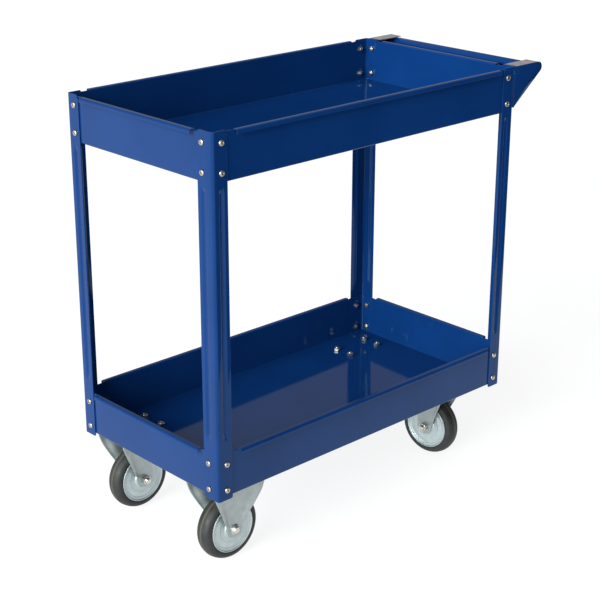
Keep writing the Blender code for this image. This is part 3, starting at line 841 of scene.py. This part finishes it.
def swivel_castor(label):
    spin, axle_z = swivel_frame(label)
    place = spin @ Matrix.Translation((TRAIL, 0.0, axle_z))
    place = place @ Matrix.Rotation(math.radians(-90.0), 4, "X")
    swivel_top(label)
    swivel_fork(label)
    axle_set(label, place, "rear_%s_castor" % label, "swivel")
    wheel(label, place, "rear_%s_wheel" % label, "swivel", ("disc_head", "disc_nut"))


# ---- bolts --------------------------------------------------------------------------------------
def pan_head(radius, height, shank_r, shank):
    # pan head on +Z with a cross recess, its shank running to -Z
    dome = [(0.0004, height), (radius * 0.30, height), (radius * 0.55, height * 0.965)]
    dome += [(radius * 0.78, height * 0.86), (radius * 0.92, height * 0.66)]
    dome += [(radius * 0.99, height * 0.38)]
    dome += [(radius, height * 0.12), (radius * 0.97, 0.0), (shank_r, 0.0), (shank_r, -0.0005)]
    tail = [(r, -z) for r, z in thread(shank_r, 0.0008, shank, 0.0010, 0.0004)]
    verts, faces = turned(dome + tail, SCREW_FACETS, False)
    blank = solid("pan_head_blank", verts, faces, [BRIGHT])
    arm = radius * 0.50
    slot = radius * 0.11
    deep = height * 0.45
    for k in range(2):
        points = []
        for z, grow in ((height + 0.001, 1.25), (deep, 0.55)):
            for sx, sy in ((1, 1), (-1, 1), (-1, -1), (1, -1)):
                points.append(Vector((sx * arm * grow, sy * slot * grow, z)))
        quarter = Matrix.Rotation(math.pi / 2 * k, 4, "Z")
        cutter = solid("recess_%d" % k, points, ring_faces(2, 4, False), [], quarter)
        cut = blank.modifiers.new("recess_%d" % k, "BOOLEAN")
        cut.operation = "DIFFERENCE"
        cut.solver = "EXACT"
        cut.object = cutter
    graph = bpy.context.evaluated_depsgraph_get()
    mesh = bpy.data.meshes.new_from_object(blank.evaluated_get(graph))
    for obj in [o for o in bpy.data.objects if o.name.startswith(("recess_", "pan_head_blank"))]:
        bpy.data.objects.remove(obj, do_unlink=True)
    return mesh


def hex_nut(half_flat, bore, height):
    edge = half_flat * 0.92
    profile = [(bore, 0.0), (edge, 0.0), (half_flat, height * 0.08), (half_flat, height * 0.90)]
    profile += [(edge, height), (bore + 0.0004, height), (bore, height - 0.0003)]
    verts, faces = turned(profile, BOLT_FACETS, True, (2, 3))
    mesh = bpy.data.meshes.new("hex_nut")
    mesh.from_pydata([tuple(v) for v in verts], [], faces)
    tidy_normals(mesh)
    mesh.materials.append(BRIGHT)
    return mesh


def gathered(name, items, body, cad, mat):
    # several copies of small meshes become one named piece; the origin stays at the frame's
    work = bmesh.new()
    for mesh, place in items:
        copy = mesh.copy()
        copy.transform(place)
        work.from_mesh(copy)
        bpy.data.meshes.remove(copy)
    mesh = bpy.data.meshes.new(name)
    work.to_mesh(mesh)
    work.free()
    mesh.materials.clear()
    mesh.materials.append(mat)
    obj = bpy.data.objects.new(name, mesh)
    bpy.context.scene.collection.objects.link(obj)
    return finish_piece(obj, body, cad, 28.0)


def toward(point, direction, turn):
    # a place at the point with local Z along the direction, turned about it
    spin = Vector(direction).to_track_quat("Z", "Y").to_matrix().to_4x4()
    return Matrix.Translation(point) @ spin @ Matrix.Rotation(turn, 4, "Z")


def corner_bolts():
    grip = POST_SHEET + GAP + SHEET
    head = pan_head(0.0054, 0.0031, 0.0029, grip + 0.0060)
    nut = hex_nut(0.0048, 0.0031, 0.0044)
    turn = 0.0
    for end, sx in (("front", -1), ("rear", 1)):
        for side, sy in (("left", -1), ("right", 1)):
            bolts = []
            nuts = []
            flanges = FLANGES[end + "_" + side]
            end_in, side_in = (WIDE_BOLT_IN if w == WIDE else NARROW_BOLT_IN for w in flanges)
            for z in [POST_TOP - d for d in UPPER_BOLTS] + [POST_FOOT + d for d in LOWER_BOLTS]:
                spots = (
                    (Vector((MIDDLE_X + sx * HALF_X, sy * (HALF_Y - end_in), z)), Vector((sx, 0, 0))),
                    (Vector((MIDDLE_X + sx * (HALF_X - side_in), sy * HALF_Y, z)), Vector((0, sy, 0))),
                )
                for spot, out in spots:
                    turn += 0.83
                    bolts.append((head, toward(spot + out * 0.0001, out, turn)))
                    nuts.append((nut, toward(spot - out * (grip + 0.0001), -out, 1.7 * turn)))
            gathered("corner_bolts_%s_%s" % (end, side), bolts, ROOT, (), SCREW)
            gathered("corner_nuts_%s_%s" % (end, side), nuts, ROOT, (), SCREW)


def castor_bolts():
    # bolt from below with its nut on the tray floor, the bolt's domed end standing clear
    nut = hex_nut(0.0064, BOLT_R + 0.0002, 0.0062)
    turn = 0.4
    for end, under in (("front", LEG_SHEET), ("rear", PLATE_T)):
        grip = SHEET + 3.0 * GAP + under
        shank = [(BOLT_R, -grip)] + thread(BOLT_R, -grip + 0.0008, 0.0068, 0.0010, 0.0004)[:-2]
        shank += [(0.0039, 0.0072), (0.0037, 0.0080), (0.0031, 0.0085), (0.0018, 0.0087)]
        shank += [(0.0004, 0.00875)]
        seat = [(0.0006, -grip - 0.0047), (0.0054, -grip - 0.0047), (0.0060, -grip - 0.0041),
                (0.0060, -grip - 0.0003), (0.0056, -grip)]
        verts, faces = turned(seat + shank, BOLT_FACETS, False, (1, 2, 3, 4))
        bolt = bpy.data.meshes.new("castor_bolt")
        bolt.from_pydata([tuple(v) for v in verts], [], faces)
        tidy_normals(bolt)
        for side in ("left", "right"):
            for number in range(1, 5):
                node = "castor_bolt_%s_%s_%d" % (end, side, number)
                low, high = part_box(node)
                turn += 0.61
                spot = (0.5 * (low.x + high.x), 0.5 * (low.y + high.y), high.z - 0.0086)
                place = Matrix.Translation(spot) @ Matrix.Rotation(turn, 4, "Z")
                gathered(node + "_set", [(bolt, place), (nut, place)], ROOT, (node,), BRIGHT)


# ---- the trolley --------------------------------------------------------------------------------
tray("upper_tray")
tray("lower_tray")
for end, sx in (("front", -1), ("rear", 1)):
    for side, sy in (("left", -1), ("right", 1)):
        post("post_%s_%s" % (end, side), sx, sy, *FLANGES[end + "_" + side])
wing("handle_wing_left", -1)
wing("handle_wing_right", 1)
rail("handle_rail")
for side in ("left", "right"):
    fixed_castor(side)
    swivel_castor(side)
    for kind in ("fixed", "swivel"):
        node = frame["nodes"]["%s_bush_%s" % (kind, side)]
        node.data.materials.clear()
        node.data.materials.append(BRIGHT)
corner_bolts()
castor_bolts()


# ---- floor, light and camera --------------------------------------------------------------------
def stage_floor():
    work = bmesh.new()
    bmesh.ops.create_grid(work, x_segments=4, y_segments=4, size=FLOOR_REACH)
    mesh = bpy.data.meshes.new("floor")
    work.to_mesh(mesh)
    work.free()
    mesh.materials.append(floor_material())
    obj = bpy.data.objects.new("floor", mesh)
    bpy.context.scene.collection.objects.link(obj)


def soft_sun(name, toward_light, spread_deg, strength, tint):
    data = bpy.data.lights.new(name, "SUN")
    data.angle = math.radians(spread_deg)
    data.energy = strength
    data.color = tint
    obj = bpy.data.objects.new(name, data)
    bpy.context.scene.collection.objects.link(obj)
    obj.rotation_euler = Vector(toward_light).to_track_quat("Z", "Y").to_euler()


def dark_card():
    # unlit end of the studio, seen only as a reflection in the sides
    mat, tree, shader = new_material("dark_card", (0.01, 0.012, 0.015), 0.0, 1.0)
    shader.inputs["Specular IOR Level"].default_value = 0.0
    mesh = bpy.data.meshes.new("dark_card")
    corners = [(x, CARD_Y, 0.0) for x in (0.0, CARD_LENGTH)]
    corners += [(x, CARD_Y, CARD_HEIGHT) for x in (CARD_LENGTH, 0.0)]
    mesh.from_pydata(corners, [], [(0, 1, 2, 3)])
    mesh.materials.append(mat)
    obj = bpy.data.objects.new("dark_card", mesh)
    bpy.context.scene.collection.objects.link(obj)
    obj.visible_camera = False
    obj.visible_diffuse = False
    obj.visible_shadow = False


def studio():
    world = bpy.data.worlds.new("studio")
    bpy.context.scene.world = world
    world.use_nodes = True
    back = world.node_tree.nodes["Background"]
    back.inputs["Color"].default_value = (1.0, 1.0, 1.0, 1.0)
    # the walls of the studio are darker than the light that fills it, so reflections of them are too
    path = world.node_tree.nodes.new("ShaderNodeLightPath")
    level = world.node_tree.nodes.new("ShaderNodeMapRange")
    level.inputs["To Min"].default_value = SKY_STRENGTH
    level.inputs["To Max"].default_value = SKY_MIRRORED
    world.node_tree.links.new(path.outputs["Is Glossy Ray"], level.inputs["Value"])
    world.node_tree.links.new(level.outputs["Result"], back.inputs["Strength"])
    soft_sun("key", KEY_TOWARD, KEY_SPREAD, KEY_STRENGTH, KEY_TINT)
    bpy.context.scene.view_settings.view_transform = "Standard"


def camera():
    data = bpy.data.cameras.new("camera")
    data.lens = CAMERA_LENS
    data.sensor_width = CAMERA_SENSOR
    obj = bpy.data.objects.new("camera", data)
    bpy.context.scene.collection.objects.link(obj)
    a = math.radians(CAMERA_AZIMUTH)
    e = math.radians(CAMERA_ELEVATION)
    back = Vector((math.sin(a) * math.cos(e), -math.cos(a) * math.cos(e), math.sin(e)))
    turn = (-back).to_track_quat("-Z", "Y").to_matrix().to_4x4()
    roll = Matrix.Rotation(math.radians(CAMERA_ROLL), 4, "Z")
    obj.matrix_world = Matrix.Translation(CAMERA_AT) @ turn @ roll
    bpy.context.scene.camera = obj


stage_floor()
dark_card()
studio()
camera()
